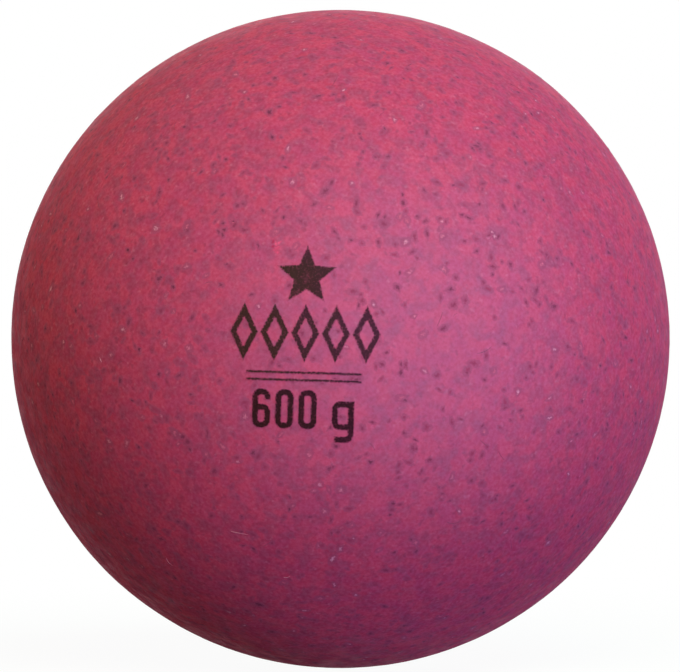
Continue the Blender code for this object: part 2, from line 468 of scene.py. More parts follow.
def makeFrontSkin(look, seam):
    # The square grid on the disc goes to the ball by equal areas: the sine of half the angle from -Y grows
    # evenly with the disc's radius. Rings then carry on over the seam's lip, the rebate and the cavity
    count = look["gridCount"]
    lastAngle = math.pi / 2 - math.asin(seam["zone"] / ballRadius)
    side = np.linspace(-1, 1, count + 1)
    a, b = np.meshgrid(side, side, indexing="ij")
    across, up = squareOnDisc(a, b)
    angle = 2 * np.arcsin(np.clip(np.hypot(across, up), 0, 1) * math.sin(lastAngle / 2))
    bearing = np.arctan2(up, across)
    level = np.sin(angle)
    grid = np.stack([level * np.cos(bearing), -np.cos(angle), level * np.sin(bearing)], axis=2)
    grid = grid.reshape(-1, 3)
    index = np.arange((count + 1) ** 2).reshape(count + 1, count + 1)
    edge = np.concatenate([index[count, :-1], index[:0:-1, count], index[0, :0:-1], index[:-1, 0]])
    turns = bearing.ravel()[edge]

    lip = seamLip(1, seam)
    zone = ballArc(ballRadius, -seam["zone"], lip[0, 1], seam["zoneRings"] + 1)[1:-1]
    wall = ballRadius - seam["lipWall"] + fitGap
    floor = lapEnd - fitGap
    joint = straightRun([lip[-1], (wall, lip[-1, 1]), (wall - seam["lapTaper"], floor),
                         (math.sqrt(cavityRadius**2 - floor**2), floor)], 2)
    cavity = ballArc(cavityRadius, floor, -cavityRadius * look["poleStart"], look["cavityRings"])[1:]
    profile = np.concatenate([zone, lip, joint, cavity])
    shown = len(zone) + len(lip)
    share = np.zeros(len(profile))
    share[:len(zone)] = 1.0
    share[len(zone):shown] = np.linspace(1.0, seam["lipRelief"], len(lip))
    around = len(turns)
    points = np.concatenate([
        liftSkin(grid * ballRadius, np.ones(len(grid))),
        liftSkin(ringPoints(profile, turns), np.repeat(share, around)),
        [[0.0, -cavityRadius, 0.0]],
    ])

    first = len(grid)
    last = first + (len(profile) - 1) * around
    j = np.arange(around)
    nextPoint = (j + 1) % around
    gridFaces = faceRows(index[:-1, :-1], index[1:, :-1], index[1:, 1:], index[:-1, 1:])
    join = faceRows(edge, first + j, first + nextPoint, edge[nextPoint])
    rings = ringFaces(first, len(profile), around)
    pole = faceRows(last + j, len(points) - 1, last + nextPoint)
    faces = [*gridFaces.tolist(), *join.tolist(), *rings.tolist(), *pole.tolist()]

    # Map: the grid as a square, then strips for the joining faces, the lip, the hidden rings and the pole
    flat = np.stack([(a + 1) / 2, (b + 1) / 2], axis=2).reshape(-1, 2) * look["mapSide"] + look["mapMargin"]
    steps = (1, shown, len(profile) - shown - 1, 1)
    strips = [stripMap(count, around, *limits) for count, limits in zip(steps, look["mapStrips"])]
    strips[-1] = strips[-1].reshape(-1, 4, 2)[:, [0, 1, 3]].reshape(-1, 2)
    places = np.concatenate([flat[gridFaces.ravel()], *strips])
    mesh = finishMesh("frontSkin", points, faces, places)
    outer = np.concatenate([np.ones(first), np.repeat(share, around), [0.0]])
    writeAttribute(mesh, "pitShare", pitField(unitVectors(points))[1] * outer)
    return mesh


def rearProfile(look, seam):
    # Closed outline, from the edge of the filler hole down the skin, over the tongue, up the cavity, and
    # over the boss, the bead's groove, the bore and the plug's seat back to the hole
    hole = plugHeadRadius + fitGap
    top = math.sqrt((ballRadius - look["holeLip"]) ** 2 - (hole + look["holeLip"]) ** 2)
    tilt = math.degrees(math.atan2(top, hole + look["holeLip"]))
    holeLip = arcPoints((hole + look["holeLip"], top), look["holeLip"], 180.0, tilt,
                        look["holeLipSteps"])
    lip = seamLip(-1, seam)
    skin = ballArc(ballRadius, holeLip[-1, 1], seam["zone"], look["skinRings"])[1:]
    zone = ballArc(ballRadius, seam["zone"], lip[0, 1], seam["zoneRings"] + 1)[1:-1]

    wall = ballRadius - seam["lipWall"]
    tip = wall - seam["lapTaper"]
    tongue = straightRun([
        lip[-1], (wall, lip[-1, 1]), (tip, lapEnd + seam["tipChamfer"]),
        (tip - seam["tipChamfer"], lapEnd), (math.sqrt(cavityRadius**2 - lapEnd**2), lapEnd),
    ], 2)
    cavity = ballArc(cavityRadius, lapEnd, math.sqrt(cavityRadius**2 - look["bossRadius"] ** 2),
                     look["cavityRings"])[1:]
    bossFace = bushLow[1] + look["flange"] + fitGap
    recess = look["bushRadius"] + fitGap
    beadRadius = look["beadRadius"] + fitGap
    reach = math.degrees(math.acos(fitGap / beadRadius))
    beadPlace = (bushHigh[1] + bossFace - fitGap) / 2
    groove = arcPoints((look["bushRadius"], beadPlace), beadRadius, -reach, reach, look["grooveSteps"])
    boss = straightRun([cavity[-1], (look["bossRadius"], bossFace), (recess, bossFace), groove[0]])
    seat = ballRadius - look["headDepth"] - fitGap
    shoulder = seat - look["shoulder"]
    bore = look["stemRadius"] + fitGap
    holeWall = straightRun([groove[-1], (recess, shoulder), (bore, shoulder), (bore, seat), (hole, seat)])
    profile = np.concatenate([holeLip, skin, zone, lip, tongue, cavity, boss, groove[1:], holeWall])
    shown = len(holeLip) + len(skin) + len(zone) + len(lip)
    share = np.zeros(len(profile))
    share[:shown] = 1.0
    share[:len(holeLip)] = np.linspace(seam["lipRelief"], 1.0, len(holeLip))
    share[shown - len(lip):shown] = np.linspace(1.0, seam["lipRelief"], len(lip))
    return profile, share, shown


def makeRearSkin(look, seam):
    # The rear profile carried round the Y axis, its faces turned to look outwards
    profile, share, shown = rearProfile(look, seam)
    around = look["around"]
    turns = np.arange(around) * math.tau / around
    points = liftSkin(ringPoints(profile, turns), np.repeat(share, around))
    faces = ringFaces(0, len(profile), around, closed=True)[:, ::-1]

    # Equal-area map of the shown skin as a disc, and the rest in a strip beside it
    angle = np.arctan2(profile[:shown, 0], profile[:shown, 1])
    middle = look["mapSide"] / 2
    spread = (np.sin(angle / 2) / math.sin(math.pi / 4) * middle * look["mapFill"])[:, None]
    disc = middle + np.stack([spread * np.cos(turns), spread * np.sin(turns)], axis=2).reshape(-1, 2)
    shownFaces = ringFaces(0, shown, around)[:, ::-1]
    strip = stripMap(len(profile) - shown + 1, around, *look["mapStrip"])
    strip = strip.reshape(-1, 4, 2)[:, ::-1].reshape(-1, 2)
    mesh = finishMesh("rearSkin", points, faces.tolist(), np.concatenate([disc[shownFaces.ravel()], strip]))
    writeAttribute(mesh, "pitShare", pitField(unitVectors(points))[1] * np.repeat(share, around))
    return mesh


frontMesh = makeFrontSkin(frontForm, seamForm)
rearMesh = makeRearSkin(rearForm, seamForm)
frontSkin = addPiece("front_skin", frontMesh, skinRubber, ["front_shell"])
rearSkin = addPiece("rear_skin", rearMesh, skinRubber, ["rear_shell"])
print("half skins made:", len(frontSkin.data.polygons), "and", len(rearSkin.data.polygons), "faces")


# The filler plug

plugForm = {
    "around": 144,
    "crownRings": 26,
    "headDepth": 0.0032,
    "headRound": 0.00040,
    "headRoundSteps": 6,
    "stemRadius": 0.0060,
    "barbRadius": 0.0075,
    "barbLip": 0.0010,
    "noseRadius": 0.0045,
    "edgeRound": 0.00015,
    "poleAngle": 0.004,  # from the axis to the crown's first ring, in radians
    "clear": 0.0012,  # chips and strands keep this far from its edge
}


def makePlug(look):
    # A crown on the ball's own sphere, a rounded head, a stem, and a barb with a tapered nose, carried
    # round the Y axis between two poles
    headRound = look["headRound"]
    rim = plugHeadRadius - headRound
    centre = (rim, math.sqrt((ballRadius - headRound) ** 2 - rim**2))
    tilt = math.degrees(math.atan2(centre[1], centre[0]))
    edge = arcPoints(centre, headRound, tilt, 0.0, look["headRoundSteps"])
    crownTop = ballRadius * math.cos(look["poleAngle"])
    crown = ballArc(ballRadius, crownTop, edge[0, 1], look["crownRings"])[:-1]
    under = ballRadius - look["headDepth"]
    barbTop = bushLow[1] - fitGap
    soft = look["edgeRound"]
    sides = straightRun([
        edge[-1], (plugHeadRadius, under + soft), (plugHeadRadius - soft, under),
        (look["stemRadius"], under), (look["stemRadius"], barbTop),
        (look["barbRadius"] - soft, barbTop), (look["barbRadius"], barbTop - soft),
        (look["barbRadius"], barbTop - look["barbLip"]),
        (look["noseRadius"], plugLow[1] + soft), (look["noseRadius"] - soft, plugLow[1]), (soft, plugLow[1]),
    ], 2)
    profile = np.concatenate([crown, edge, sides])
    share = np.zeros(len(profile))
    share[:len(crown)] = 1.0
    around = look["around"]
    turns = np.arange(around) * math.tau / around
    points = np.concatenate([
        liftSkin(ringPoints(profile, turns), np.repeat(share, around)),
        liftSkin(np.array([[0.0, ballRadius, 0.0]]), np.ones(1)),
        [[0.0, plugLow[1], 0.0]],
    ])
    j = np.arange(around)
    nextPoint = (j + 1) % around
    top, low = len(points) - 2, len(points) - 1
    last = (len(profile) - 1) * around
    rings = ringFaces(0, len(profile), around)[:, ::-1]
    topFan = faceRows(top, nextPoint, j)
    lowFan = faceRows(last + j, last + nextPoint, low)
    return finishMesh("plug", points, [*rings.tolist(), *topFan.tolist(), *lowFan.tolist()], sharp=50.0)


plug = addPiece("flush_plug", makePlug(plugForm), plugRubber, ["filler_plug"])
print("plug made:", len(plug.data.polygons), "faces")


# Chips of other rubber and lint strands that lie in the skin

chipForm = {
    "pale": 540,
    "dark": 3200,
    "sides": 8,
    "paleRadius": (0.00028, 0.00048),
    "darkRadius": (0.00028, 0.00054),
    "skew": 1.5,  # how much small chips outnumber large ones
    "paleTone": (0.55, 0.24, 2.0),  # where the tones start, their span and how they crowd towards the start
    "darkTone": (0.0, 0.45, 0.40),
    "stretch": 2.0,
    "ragged": (0.66, 1.24),
    "height": (0.000006, 0.000014),
    "sink": 0.000060,
    "baseSink": 0.000072,
    "rings": ((1.00, None, 0.0), (0.94, 0.12, 0.0), (0.50, 0.80, 0.6)),  # share of radius, of height, core
    "halos": (1.0, 0.7),  # how wide a mauve ring the pale and the dark chips have
    "haloGrowth": 1.3,
    "seed": 23,
    # A small cluster of red and rose chips above the mark: right, up, radius, tone
    "cluster": ((-0.0082, 0.0129, 0.00050, 0.98), (-0.0086, 0.0128, 0.00046, 0.97),
                (-0.0090, 0.0130, 0.00044, 0.86), (-0.0090, 0.0124, 0.00044, 0.86),
                (-0.0085, 0.0121, 0.00072, 0.93), (-0.0084, 0.0116, 0.00052, 0.94)),
}
strandForm = {
    "pale": 14,
    "dark": 120,
    "points": 7,
    "length": (0.0008, 0.0030),
    "halfWidth": (0.000035, 0.000060),
    "tipWidth": 0.35,  # least share of the width, at a strand's ends
    "tipReach": 0.99,  # how much of an ellipse's half length the taper follows
    "paleTones": (0.7, 1.0),
    "darkTones": (0.0, 0.3),
    "curl": 0.9,  # turn along a strand, in radians
    "rise": 0.000030,
    "sink": 0.000030,
    "seed": 31,
}


def sideways(directions, headings):
    # Two unit vectors across each direction, the first of them at its heading from a fixed helper
    helper = np.where(np.abs(directions[:, 2:]) < 0.9, [[0.0, 0.0, 1.0]], [[1.0, 0.0, 0.0]])
    across = unitVectors(np.cross(helper, directions))
    up = np.cross(directions, across)
    turnCos, turnSin = np.cos(headings)[:, None], np.sin(headings)[:, None]
    return across * turnCos + up * turnSin, up * turnCos - across * turnSin


def clearOfSeam(directions):
    # Keeps what lies clear of the seam and of the plug's edge
    fromSeam = np.abs(directions[:, 1]) * ballRadius
    fromPlug = np.abs(np.hypot(directions[:, 0], directions[:, 2]) * ballRadius - plugHeadRadius)
    return (fromSeam > seamForm["clear"]) & ((fromPlug > plugForm["clear"]) | (directions[:, 1] < 0))


def onSkin(directions, offsets, lift):
    # Places at an offset along the skin from each direction, on the relief plus a lift
    places = unitVectors(directions * ballRadius + offsets)
    return places * (ballRadius + skinRelief(places) + lift)[:, None]


def drawChips(look):
    # Where each chip lies, its radius, its tone and its ring
    rng = np.random.default_rng(look["seed"])
    cluster = np.array(look["cluster"])
    numbers = [look["pale"], look["dark"]]
    directions = randomDirections(rng, sum(numbers))
    small = rng.uniform(0, 1, sum(numbers)) ** look["skew"]
    low, high = np.repeat([look["paleRadius"], look["darkRadius"]], numbers, axis=0).T
    faint = rng.uniform(0, 1, sum(numbers))
    start, span, crowding = np.repeat([look["paleTone"], look["darkTone"]], numbers, axis=0).T
    tones = start + span * faint**crowding
    halos = np.repeat(look["halos"], numbers)
    radii = (low + (high - low) * small) * (1 + look["haloGrowth"] * halos)
    kept = clearOfSeam(directions)
    depth = -np.sqrt(ballRadius**2 - (cluster[:, :2] ** 2).sum(axis=1))
    clusterDirections = np.stack([cluster[:, 0], depth, cluster[:, 1]], axis=1) / ballRadius
    directions = np.concatenate([directions[kept], clusterDirections])
    radii = np.concatenate([radii[kept], cluster[:, 2]])
    tones = np.concatenate([tones[kept], cluster[:, 3]])
    halos = np.concatenate([halos[kept], np.zeros(len(cluster))])
    return rng, directions, radii, tones, halos


def makeChips(look):
    # Each chip is a low dome with ragged rings: the outer one below the skin, the next where it comes out,
    # one near its top, then a middle and a base. The core attribute grows from its edge to its middle
    rng, directions, radii, tones, halos = drawChips(look)
    count, sides = len(directions), look["sides"]
    first, second = sideways(directions, rng.uniform(0, math.tau, count))
    stretch = np.sqrt(rng.uniform(1.0, look["stretch"], count))
    heights = rng.uniform(*look["height"], count)
    turns = np.arange(sides) * math.tau / sides
    ragged = rng.uniform(*look["ragged"], (count, sides)) * radii[:, None]
    offsets = (first[:, None] * (ragged * stretch[:, None] * np.cos(turns))[..., None]
               + second[:, None] * (ragged / stretch[:, None] * np.sin(turns))[..., None]).reshape(-1, 3)
    wide = np.repeat(directions, sides, axis=0)
    rings, cores = [], []
    for reach, rise, core in look["rings"]:
        lift = -look["sink"] if rise is None else np.repeat(heights * rise, sides)
        rings.append(onSkin(wide, offsets * reach, lift))
        cores.append(np.full(count * sides, core))
    none = np.zeros_like(directions)
    tops = onSkin(directions, none, heights)
    points = np.concatenate([*rings, tops, onSkin(directions, none, -look["baseSink"])])
    i = np.arange(count)[:, None]
    j = np.arange(sides)[None, :]
    k = (j + 1) % sides
    size = count * sides
    faces = []
    for ring in range(len(rings) - 1):
        lower, upper = ring * size + i * sides, (ring + 1) * size + i * sides
        faces += faceRows(lower + j, lower + k, upper + k, upper + j).tolist()
    upper = (len(rings) - 1) * size + i * sides
    top, base = len(rings) * size + i, len(rings) * size + count + i
    caps = faceRows(upper + j, upper + k, top)
    bases = faceRows(i * sides + k, i * sides + j, base)
    mesh = finishMesh("chips", points, [*faces, *caps.tolist(), *bases.tolist()], sharp=20.0)
    for name, values in (("tone", tones), ("halo", halos)):
        spread = [np.repeat(values, sides)] * len(rings)
        writeAttribute(mesh, name, np.concatenate([*spread, values, values]))
    writeAttribute(mesh, "core", np.concatenate([*cores, np.ones(count), np.zeros(count)]))
    return mesh


def makeStrands(look):
    # Each strand runs along the skin with a heading that turns evenly, under a roof-shaped section
    rng = np.random.default_rng(look["seed"])
    count = look["pale"] + look["dark"]
    directions = randomDirections(rng, count)
    headings = rng.uniform(0, math.tau, count)
    lengths = rng.uniform(*look["length"], count)
    widths = rng.uniform(*look["halfWidth"], count)
    curls = rng.normal(0, look["curl"], count)
    paleTones = rng.uniform(*look["paleTones"], look["pale"])
    tones = np.concatenate([paleTones, rng.uniform(*look["darkTones"], look["dark"])])
    kept = clearOfSeam(directions)
    directions, headings, lengths, widths, curls, tones = (
        values[kept] for values in (directions, headings, lengths, widths, curls, tones))
    count, steps = len(directions), look["points"]
    first, second = sideways(directions, headings)
    share = np.linspace(-0.5, 0.5, steps)
    heading = curls[:, None] * share
    stepX = np.cumsum(np.cos(heading), axis=1) * (lengths / steps)[:, None]
    stepY = np.cumsum(np.sin(heading), axis=1) * (lengths / steps)[:, None]
    middle = first[:, None] * stepX[..., None] + second[:, None] * stepY[..., None]
    crossways = second[:, None] * np.cos(heading)[..., None] - first[:, None] * np.sin(heading)[..., None]
    tip = look["tipWidth"]
    taper = (tip + (1 - tip) * np.sqrt(1 - (2 * look["tipReach"] * share) ** 2)) * widths[:, None]
    edge = crossways * taper[..., None]
    wide = np.repeat(directions, steps, axis=0)
    points = np.stack([
        onSkin(wide, (middle - edge).reshape(-1, 3), -look["sink"]),
        onSkin(wide, middle.reshape(-1, 3), look["rise"]),
        onSkin(wide, (middle + edge).reshape(-1, 3), -look["sink"]),
    ], axis=1).reshape(-1, 3)
    i = np.arange(count)[:, None, None] * steps * 3
    s = np.arange(steps - 1)[None, :, None] * 3
    c = np.arange(3)[None, None, :]
    d = (c + 1) % 3
    walls = faceRows(i + s + c, i + s + 3 + c, i + s + 3 + d, i + s + d)
    begin = np.arange(count)[:, None] * steps * 3
    starts = begin + np.array([[0, 1, 2]])
    ends = begin + (steps - 1) * 3 + np.array([[2, 1, 0]])
    mesh = finishMesh("strands", points, [*walls.tolist(), *starts.tolist(), *ends.tolist()], sharp=70.0)
    writeAttribute(mesh, "tone", np.repeat(tones, steps * 3))
    return mesh


def toneColour(tree, tones):
    # Colour by the piece's own tone attribute, through named steps
    tone = attributeField(tree, "tone")
    strip = addNode(tree, "ValToRGB", {0: tone})
    steps = strip.color_ramp.elements
    while len(steps) < len(tones):
        steps.new(0.5)
    for step, (place, colour) in zip(steps, tones):
        step.position = place
        step.color = (*colour, 1.0)
    return strip.outputs["Color"]


chipTones = [
    (0.00, (0.090, 0.014, 0.040)),
    (0.15, (0.185, 0.026, 0.064)),
    (0.45, (0.350, 0.039, 0.092)),
    (0.56, (0.560, 0.105, 0.175)),
    (0.80, (0.620, 0.250, 0.340)),
    (0.86, (0.430, 0.020, 0.072)),
    (0.98, (0.740, 0.088, 0.180)),
]
strandTones = [
    (0.02, (0.095, 0.036, 0.066)),
    (0.32, (0.200, 0.041, 0.074)),
    (0.68, (0.540, 0.220, 0.280)),
    (0.98, (0.680, 0.400, 0.440)),
]
chipLook = {
    "haloTone": (0.290, 0.060, 0.124),
    "haloShare": 0.50,
    "haloFull": (0.4, 0.3),  # where the ring reaches that share, by core and by halo
    "coreStart": 0.63,  # core at which the chip's own tone begins in a full ring
    "coreShare": 0.90,
    "coreWander": 0.20,
}
lintLook = {
    "roughness": (0.65, 0.85),
    "specular": 0.2,
}
chipGrain = {"size": 0.00025, "detail": 2.0, "rough": 0.6, "shift": (0.4, 0.2, 0.6), "edge": (0.2, 0.8),
             "shade": (0.78, 1.15)}


def shadeByGrain(tree, coords, colour):
    grain = noiseField(tree, coords, chipGrain)
    shade = ramp(tree, grain, *chipGrain["edge"], *chipGrain["shade"])
    return blendColour(tree, 1.0, colour, greyColour(tree, shade), "MULTIPLY"), grain


def makeChipRubber(tones, look):
    # From edge to middle: the skin's own rubber, the mauve ring, the chip's tone
    material, tree, shader, coords = newMaterial("chipRubber")
    rubber, _, height = rubberColour(tree, coords, rubberLook)
    tone, grain = shadeByGrain(tree, coords, toneColour(tree, tones))
    halo = attributeField(tree, "halo")
    core = attributeField(tree, "core")
    wander = ramp(tree, grain, *chipGrain["edge"], -look["coreWander"], look["coreWander"])
    core = mathNode(tree, "ADD", core, wander)
    fullCore, fullHalo = look["haloFull"]
    ringShare = ramp(tree, halo, 0.0, fullHalo, 0.0, look["haloShare"])
    ringShare = mathNode(tree, "MULTIPLY", ramp(tree, core, 0.0, fullCore), ringShare)
    start = mathNode(tree, "MULTIPLY", mathNode(tree, "POWER", halo, 0.5), look["coreStart"])
    body = ramp(tree, core, start, 1.0, 0.0, look["coreShare"])
    colour = blendColour(tree, body, blendColour(tree, ringShare, rubber, look["haloTone"]), tone)
    dressRubber(tree, shader, coords, colour, height, rubberLook)
    return material


def makeLintFibre(tones, look):
    material, tree, shader, coords = newMaterial("lintFibre")
    colour, grain = shadeByGrain(tree, coords, toneColour(tree, tones))
    setSocket(tree, shader.inputs["Base Color"], colour)
    setSocket(tree, shader.inputs["Roughness"], ramp(tree, grain, *chipGrain["edge"], *look["roughness"]))
    shader.inputs["Specular IOR Level"].default_value = look["specular"]
    return material


chipRubber = makeChipRubber(chipTones, chipLook)
lintFibre = makeLintFibre(strandTones, lintLook)
chips = addPiece("rubber_chips", makeChips(chipForm), chipRubber)
strands = addPiece("lint_strands", makeStrands(strandForm), lintFibre)
print("chips and strands made:", len(chips.data.polygons), "and", len(strands.data.polygons), "faces")


# The printed mark: a plain star, a row of lozenges, two rules and the mass

markForm = {
    "centre": (-0.0047, 0.0),  # right and up from the middle of the printed side
    "tilt": -1.7,  # degrees
    "starPlace": (0.0, 0.0084),
    "starRadius": (0.0043, 0.0019),
    "lozengePlace": (0.0, 0.0008),
    "lozengeCount": 5,
    "lozengeSize": (0.0039, 0.0080),
    "lozengeStep": 0.0041,
    "lozengeStroke": 0.00094,
    "ruleWidth": 0.0156,
    "ruleHeights": (-0.0045, -0.0055),
    "ruleStroke": 0.00048,
    "massPlace": (0.0, -0.0121),  # middle of the figures' foot line
    "figureSize": (0.0026, 0.0054),
    "unitSize": (0.0031, 0.0040),
    "unitDrop": 0.0017,
    "figureStep": 0.0031,
    "unitGap": 0.0014,
    "figureStroke": 0.00096,
    "figureRound": 0.00115,
    "outerSteps": 6,  # points on the quarter turns of the figures, outside and inside
    "innerSteps": 4,
    "bowlHeight": 0.62,  # the six's bowl and open end, as shares of its height
    "openHeight": 0.71,
    "hookStart": 0.4,  # the unit's hook starts this many strokes from the left
    "softEdge": 0.00020,  # width of the ragged edge of the film
    "cut": 0.00025,  # side of the grid that lets the film bend with the skin
    "rise": 0.000030,
    "sink": 0.000020,
    "weld": 1e-6,  # corners this close are one
    "cutMargin": 1e-7,  # a grid line this close to a corner runs through it
    "leastArea": 1e-13,  # a face whose doubled area is less, in square metres, is left out
}


def addOutline(curve, outline):
    spline = curve.splines.new("POLY")
    spline.points.add(len(outline) - 1)
    flat = np.column_stack([outline, np.zeros(len(outline)), np.ones(len(outline))])
    spline.points.foreach_set("co", flat.ravel())
    spline.use_cyclic_u = True


def starOutline(look):
    # Ten corners on two circles in turn, the first straight up
    turns = math.pi / 2 + np.arange(10) * math.pi / 5
    radii = np.where(np.arange(10) % 2 == 0, *look["starRadius"])
    return np.array(look["starPlace"]) + np.stack([radii * np.cos(turns), radii * np.sin(turns)], axis=1)


def lozengeOutlines(look):
    # Outer and inner diamond of each lozenge; the inner one is smaller by the stroke, square to the sides
    half = np.array(look["lozengeSize"]) / 2
    inset = look["lozengeStroke"] * math.hypot(*half)
    inner = half - inset / half[::-1]
    corners = np.array([(1, 0), (0, 1), (-1, 0), (0, -1)])
    outlines = []
    for k in range(look["lozengeCount"]):
        offset = (k - (look["lozengeCount"] - 1) / 2) * look["lozengeStep"]
        place = np.array(look["lozengePlace"]) + (offset, 0)
        outlines += [place + corners * half, place + corners * inner]
    return outlines


def ruleOutlines(look):
    corners = np.array([(1, 1), (-1, 1), (-1, -1), (1, -1)]) / 2
    return [np.array((0, height)) + corners * (look["ruleWidth"], look["ruleStroke"])
            for height in look["ruleHeights"]]


def roundBox(left, low, right, high, radius, steps):
    # Four quarter arcs, one round each corner
    centres = ((right - radius, high - radius), (left + radius, high - radius),
               (left + radius, low + radius), (right - radius, low + radius))
    arcs = [arcPoints(centre, radius, 90 * k, 90 * k + 90, steps) for k, centre in enumerate(centres)]
    return np.concatenate(arcs)


def figureNought(look):
    width, height = look["figureSize"]
    stroke, bend, steps = look["figureStroke"], look["figureRound"], look["outerSteps"]
    return [roundBox(0, 0, width, height, bend, steps),
            roundBox(stroke, stroke, width - stroke, height - stroke, bend - stroke, steps)]


def figureSix(look):
    # The outline runs over the top, down the left side, round the foot, up to the bowl and along inside
    width, height = look["figureSize"]
    stroke, bend = look["figureStroke"], look["figureRound"]
    wide, tight = look["outerSteps"], look["innerSteps"]
    bowl, mouth = height * look["bowlHeight"], height * look["openHeight"]
    inner = bend - stroke
    outline = np.concatenate([
        [(width, mouth)],
        arcPoints((width - bend, height - bend), bend, 0, 90, wide),
        arcPoints((bend, height - bend), bend, 90, 180, wide),
        arcPoints((bend, bend), bend, 180, 270, wide),
        arcPoints((width - bend, bend), bend, 270, 360, wide),
        arcPoints((width - bend, bowl - bend), bend, 0, 90, wide),
        [(stroke, bowl)],
        arcPoints((bend, height - bend), inner, 180, 90, tight),
        arcPoints((width - bend, height - bend), inner, 90, 0, tight),
        [(width - stroke, mouth)],
    ])
    return [outline, roundBox(stroke, stroke, width - stroke, bowl - stroke, inner, wide)]


def unitGram(look):
    # A bowl with a straight side that drops below the foot line and hooks to the left
    width, high = look["unitSize"]
    drop = look["unitDrop"]
    stroke, bend = look["figureStroke"], look["figureRound"]
    wide, tight = look["outerSteps"], look["innerSteps"]
    inner, hook = bend - stroke, stroke * look["hookStart"]
    outline = np.concatenate([
        [(width, high)],
        arcPoints((bend, high - bend), bend, 90, 180, wide),
        arcPoints((bend, bend), bend, 180, 270, wide),
        [(width - stroke, 0)],
        arcPoints((width - bend, bend - drop), inner, 0, -90, tight),
        [(hook, stroke - drop), (hook, -drop)],
        arcPoints((width - bend, bend - drop), bend, -90, 0, wide),
    ])
    return [outline, roundBox(stroke, stroke, width - stroke, high - stroke, inner, wide)]


def massOutlines(look):
    # The mass, 600 g, in plain upright figures set side by side about the middle
    step = look["figureStep"]
    places = (0, step, 2 * step, 3 * step + look["unitGap"])
    start = np.array(look["massPlace"]) - ((places[-1] + look["unitSize"][0]) / 2, 0)
    shapes = (figureSix(look), figureNought(look), figureNought(look), unitGram(look))
    return [start + (place, 0) + outline for place, shape in zip(places, shapes) for outline in shape]


def shapesMesh(outlines):
    # The filled flat shapes as one mesh
    curve = bpy.data.curves.new("markShapes", "CURVE")
    curve.dimensions = "2D"
    curve.fill_mode = "BOTH"
    for outline in outlines:
        addOutline(curve, outline)
    holder = addObject("markShapes", curve)
    mesh = bpy.data.meshes.new_from_object(holder.evaluated_get(bpy.context.evaluated_depsgraph_get()))
    bpy.data.objects.remove(holder)
    return mesh


def cutInGrid(form, cut, margin):
    # Cuts every face along a square grid, so that it can follow the ball
    for axis, normal in enumerate((Vector((1, 0, 0)), Vector((0, 1, 0)))):
        places = [vertex.co[axis] for vertex in form.verts]
        for line in np.arange(math.floor(min(places) / cut), math.ceil(max(places) / cut)) * cut:
            whole = form.verts[:] + form.edges[:] + form.faces[:]
            bmesh.ops.bisect_plane(form, geom=whole, plane_co=normal * line, plane_no=normal, dist=margin)


def edgeShare(flat, outlines, reach):
    # Distance of each flat point from the nearest outline, as a share of the reach, at most one: the foot
    # of the point on a side of the outline lies at the clipped dot product over the side's squared length
    share = np.ones(len(flat))
    for outline in outlines:
        side = np.roll(outline, -1, axis=0) - outline
        away = flat[:, None] - outline
        foot = np.clip((away * side).sum(axis=2) / (side**2).sum(axis=1), 0, 1)
        gaps = np.linalg.norm(away - foot[..., None] * side, axis=2).min(axis=1)
        share = np.minimum(share, gaps / reach)
    return share


def makeMark(look):
    # The flat shapes are pressed straight back onto the skin: the place along Y is where the ball is, and
    # the film stands a little over the relief, with a base in the skin and walls along its free edges
    outlines = [starOutline(look), *lozengeOutlines(look), *ruleOutlines(look), *massOutlines(look)]
    form = bmesh.new()
    form.from_mesh(shapesMesh(outlines))
    bmesh.ops.remove_doubles(form, verts=form.verts[:], dist=look["weld"])
    cutInGrid(form, look["cut"], look["cutMargin"])
    bmesh.ops.triangulate(form, faces=form.faces[:])
    form.verts.index_update()
    flat = np.array([vertex.co[:2] for vertex in form.verts])
    faces = np.array([[vertex.index for vertex in face.verts] for face in form.faces])
    form.free()

    sides = flat[faces[:, 1:]] - flat[faces[:, :1]]
    area = sides[:, 0, 0] * sides[:, 1, 1] - sides[:, 0, 1] * sides[:, 1, 0]  # doubled, with its sign
    kept = np.abs(area) > look["leastArea"]
    faces, area = faces[kept], area[kept]
    faces[area < 0] = faces[area < 0][:, ::-1]
    inside = edgeShare(flat, outlines, look["softEdge"])
    tilt = math.radians(look["tilt"])
    turn = np.array([[math.cos(tilt), math.sin(tilt)], [-math.sin(tilt), math.cos(tilt)]])
    flat = flat @ turn + look["centre"]
    depth = np.sqrt(ballRadius**2 - (flat**2).sum(axis=1))
    directions = np.stack([flat[:, 0], -depth, flat[:, 1]], axis=1) / ballRadius
    height = ballRadius + skinRelief(directions)
    points = np.concatenate([directions * (height + look["rise"])[:, None],
                             directions * (height - look["sink"])[:, None]])
    count = len(flat)
    edges = np.concatenate([faces[:, [0, 1]], faces[:, [1, 2]], faces[:, [2, 0]]])
    keys = edges.min(axis=1) * count + edges.max(axis=1)
    _, back, uses = np.unique(keys, return_inverse=True, return_counts=True)
    free = edges[uses[back] == 1]
    walls = faceRows(free[:, 1], free[:, 0], free[:, 0] + count, free[:, 1] + count)
    everyFace = [*faces.tolist(), *(faces[:, ::-1] + count).tolist(), *walls.tolist()]
    mesh = finishMesh("mark", points, everyFace, sharp=60.0)
    writeAttribute(mesh, "inside", np.concatenate([inside, np.zeros(count)]))
    return mesh


